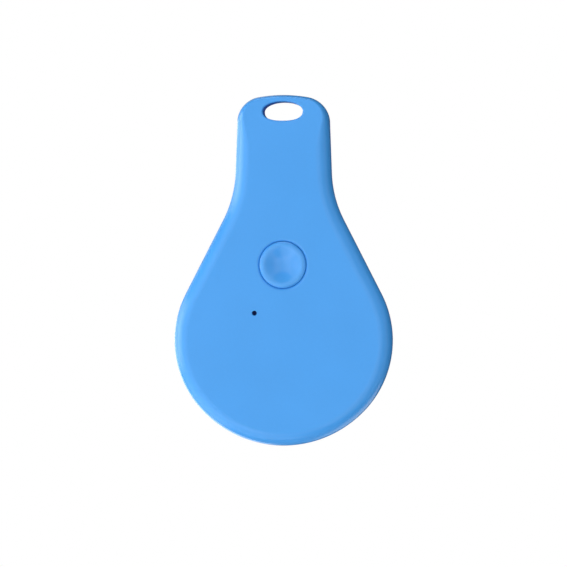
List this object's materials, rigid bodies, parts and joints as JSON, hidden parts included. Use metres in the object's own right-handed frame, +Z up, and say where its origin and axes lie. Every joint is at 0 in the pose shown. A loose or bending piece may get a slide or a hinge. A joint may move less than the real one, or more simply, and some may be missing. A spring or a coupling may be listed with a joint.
{
  "type": "bluetooth tracker tag",
  "caption": "Teardrop key-finder tag in light blue plastic, with a dished push button, a sound pinhole, an oval lanyard hole and a coin-turned battery door.",
  "frame": {"origin": "centre of the lanyard hole, at mid thickness", "axes": "+Z up towards the lanyard end, -Y out of the front face with the button, +X to the right as seen from the front"},
  "size_m": [0.036, 0.008, 0.0578],
  "materials": {
    "shell_plastic": "fine satin moulding",
    "button_plastic": "fine satin moulding",
    "seal_rubber": "matt",
    "steel": "plain",
    "board_laminate": "solder mask",
    "moulding_compound": "matt",
    "ceramic_parts": "fired",
    "brass": "rolled",
    "spring_bronze": "rolled",
    "mesh_cloth": "woven",
    "nickel_plate": "satin plate",
    "white_plastic": "moulded"
  },
  "bodies": {
    "case": {"front_shell": "shell_plastic", "rear_shell": "shell_plastic", "case_seal": "seal_rubber", "case_screw_1": "steel", "case_screw_2": "steel", "case_screw_3": "steel", "circuit_board": "board_laminate", "radio_chip": "moulding_compound", "chip_antenna": "ceramic_parts", "main_crystal": "steel", "clock_crystal": "steel", "sounder_coil": "moulding_compound", "sounder_transistor": "moulding_compound", "capacitor_1": "ceramic_parts", "capacitor_2": "ceramic_parts", "capacitor_3": "ceramic_parts", "capacitor_4": "ceramic_parts", "capacitor_5": "ceramic_parts", "capacitor_6": "ceramic_parts", "resistor_1": "moulding_compound", "resistor_2": "moulding_compound", "resistor_3": "moulding_compound", "resistor_4": "moulding_compound", "sounder_plate": "brass", "sounder_ceramic": "ceramic_parts", "sounder_spring_plate": "spring_bronze", "sounder_spring_ceramic": "spring_bronze", "sound_mesh": "mesh_cloth", "switch_base": "moulding_compound", "switch_dome": "nickel_plate", "switch_cover": "steel", "cell_can": "nickel_plate", "cell_cup": "nickel_plate", "cell_insulator": "seal_rubber", "cell_frame": "white_plastic", "negative_contact": "nickel_plate", "positive_contact": "nickel_plate"},
    "button": {"button_cap": "button_plastic", "switch_plunger": "white_plastic"},
    "door_ring": {"door_seal": "seal_rubber"},
    "door": {"battery_door": "shell_plastic"}
  },
  "joints": [
    {"name": "button_press", "type": "slide", "parent": "case", "child": "button", "axis": [0, 1, 0], "range_m": [0, 0.00025], "stiffness_N_per_m": 1500, "springref_m": -0.0003, "deforming": ["switch_dome"]},
    {"name": "door_rise", "type": "slide", "parent": "case", "child": "door_ring", "axis": [0, 1, 0], "range_m": [0, 0.0007]},
    {"name": "door_turn", "type": "hinge", "parent": "door_ring", "child": "door", "pos_m": [0, 0.0039, -0.0372], "axis": [0, 1, 0], "range_deg": [0, 45]}
  ],
  "couplings": [
    {"joint": "door_turn", "follows": "door_rise", "rad_per_m": 1122}
  ]
}
